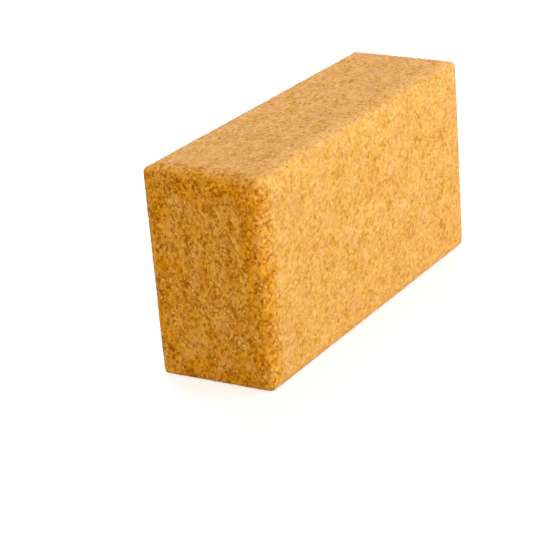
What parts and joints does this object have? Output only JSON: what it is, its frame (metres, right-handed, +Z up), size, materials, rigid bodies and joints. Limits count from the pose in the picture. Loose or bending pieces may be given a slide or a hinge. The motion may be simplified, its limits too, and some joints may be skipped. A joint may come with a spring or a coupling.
{
  "type": "yoga block",
  "caption": "Rectangular cork yoga block with rounded edges, a firm brick that carries a hand, foot or seat in floor exercise.",
  "frame": {"origin": "middle of the long narrow face that the block stands on", "axes": "+X through the thickness, +Y along the length, +Z up"},
  "size_m": [0.072, 0.23, 0.12],
  "materials": {
    "cork": "agglomerated cork, sanded, matt",
    "glue": "cured polyurethane glue, honey coloured"
  },
  "bodies": {
    "root": {"cork_board_left": "cork", "cork_board_right": "cork", "glue_film": "glue"}
  },
  "joints": []
}
